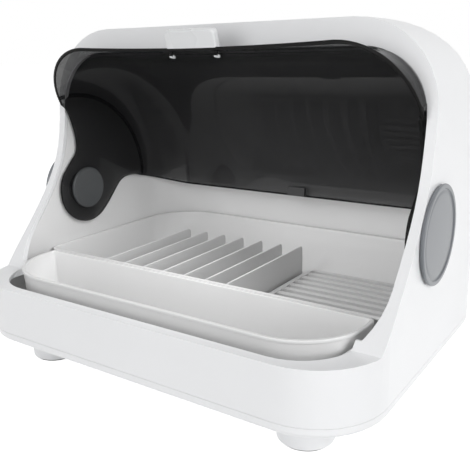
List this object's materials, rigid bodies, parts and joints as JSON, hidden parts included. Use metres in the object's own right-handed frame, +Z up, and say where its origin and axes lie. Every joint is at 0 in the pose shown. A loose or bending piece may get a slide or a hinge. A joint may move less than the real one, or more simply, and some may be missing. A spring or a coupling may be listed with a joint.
{
  "type": "uv sterilizer cabinet",
  "caption": "Countertop UV sterilizer cabinet with a rounded white housing, a flip-up smoked lid, a drain tray, plate and cup racks and a lift-out cutlery box.",
  "frame": {"origin": "on the ground, under the middle of the outline of the whole cabinet", "axes": "+X to the cabinet's right as seen from its open front, +Y to the back, +Z up"},
  "size_m": [0.4074, 0.324, 0.309],
  "materials": {
    "white_plastic": "semi-gloss white",
    "tray_plastic": "satin off-white",
    "smoked_plastic": "see-through smoked gloss",
    "cap_plastic": "satin grey",
    "inner_cap_plastic": "satin dark grey",
    "black_plastic": "matt black",
    "rubber": "matt",
    "steel": "plain",
    "board": "green laminate",
    "clear_plastic": "clear"
  },
  "bodies": {
    "cabinet": {"base_pan": "white_plastic", "base_screw_1": "steel", "base_screw_2": "steel", "base_screw_3": "steel", "base_screw_4": "steel", "base_screw_5": "steel", "base_screw_6": "steel", "cabinet_shell": "white_plastic", "chamber_liner": "white_plastic", "control_board": "board", "control_chip": "black_plastic", "control_coil": "black_plastic", "dc_jack": "black_plastic", "foot_front_left": "white_plastic", "foot_front_right": "white_plastic", "foot_pad_front_left": "rubber", "foot_pad_front_right": "rubber", "foot_pad_rear_left": "rubber", "foot_pad_rear_right": "rubber", "foot_rear_left": "white_plastic", "foot_rear_right": "white_plastic", "friction_washer_left": "black_plastic", "friction_washer_right": "black_plastic", "hinge_pin_left": "steel", "hinge_pin_right": "steel", "lamp_housing": "white_plastic", "lamp_lens": "clear_plastic", "led_board": "board", "lid_sensor": "board", "outer_cap_left": "cap_plastic", "outer_cap_right": "cap_plastic", "uv_led_1": "clear_plastic", "uv_led_2": "clear_plastic", "uv_led_3": "clear_plastic", "uv_led_4": "clear_plastic", "uv_led_5": "clear_plastic", "uv_led_6": "clear_plastic"},
    "visor": {"visor": "smoked_plastic", "visor_grip": "white_plastic", "grip_peg_left": "white_plastic", "grip_peg_right": "white_plastic", "inner_cap_left": "inner_cap_plastic", "inner_cap_right": "inner_cap_plastic", "lid_magnet": "black_plastic"},
    "tray": {"drain_tray": "tray_plastic"},
    "plate_rack": {"plate_rack": "tray_plastic"},
    "cup_rack": {"cup_rack": "tray_plastic"},
    "cutlery_box": {"cutlery_box": "tray_plastic"}
  },
  "joints": [
    {"name": "visor_hinge", "type": "hinge", "parent": "cabinet", "child": "visor", "pos_m": [0, -0.014, 0.1455], "axis": [-1, 0, 0], "range_deg": [-95, 0]},
    {"name": "tray_lift", "type": "slide", "parent": "cabinet", "child": "tray", "axis": [0, 0, 1], "range_m": [0, 0.015]},
    {"name": "plate_rack_lift", "type": "slide", "parent": "tray", "child": "plate_rack", "axis": [0, 0, 1], "range_m": [0, 0.05]},
    {"name": "cup_rack_lift", "type": "slide", "parent": "tray", "child": "cup_rack", "axis": [0, 0, 1], "range_m": [0, 0.05]},
    {"name": "cutlery_box_lift", "type": "slide", "parent": "cabinet", "child": "cutlery_box", "axis": [0, 0, 1], "range_m": [0, 0.05]}
  ]
}
